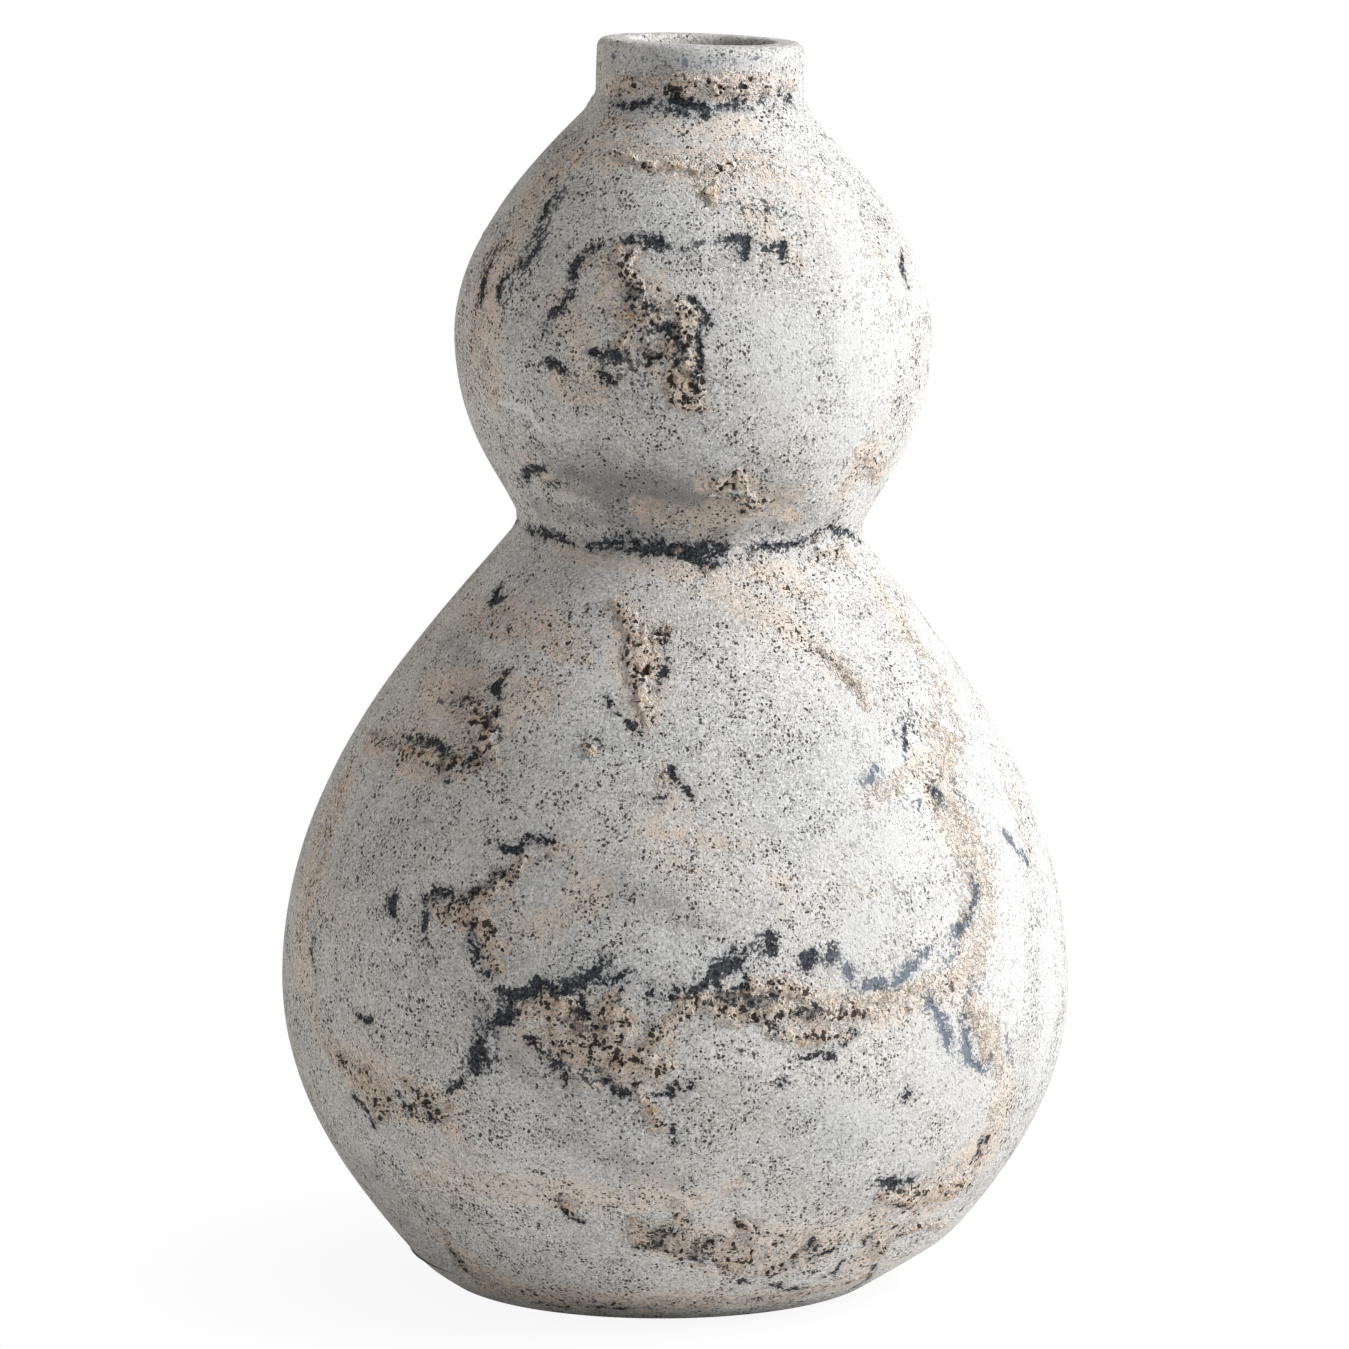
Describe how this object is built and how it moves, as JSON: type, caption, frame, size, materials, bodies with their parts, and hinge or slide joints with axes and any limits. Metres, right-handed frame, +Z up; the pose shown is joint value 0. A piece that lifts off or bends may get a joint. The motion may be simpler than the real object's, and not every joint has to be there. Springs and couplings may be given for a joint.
{
  "type": "vase",
  "caption": "Double-gourd terracotta vase with a short neck, joined from thrown sections, with a crusted grey coat.",
  "frame": {"origin": "on the table, under the middle of the vase's overall box, which is the middle of the belly", "axes": "+Z up towards the mouth, +X to the right seen from the front, the side the lower gourd leans to; the front faces -Y"},
  "size_m": [0.2509, 0.251, 0.3964],
  "materials": {
    "fired_coat": "dry sandy grey coat with raised beige crust, dark bare lines and pinholes",
    "joint_slip": "matt fired slip"
  },
  "bodies": {
    "root": {"base_slab": "fired_coat", "foot_slip": "joint_slip", "lower_bowl": "fired_coat", "belly_slip": "joint_slip", "lower_dome": "fired_coat", "waist_slip": "joint_slip", "upper_bowl": "fired_coat", "shoulder_slip": "joint_slip", "upper_dome": "fired_coat", "neck_slip": "joint_slip", "neck_collar": "fired_coat"}
  },
  "joints": []
}
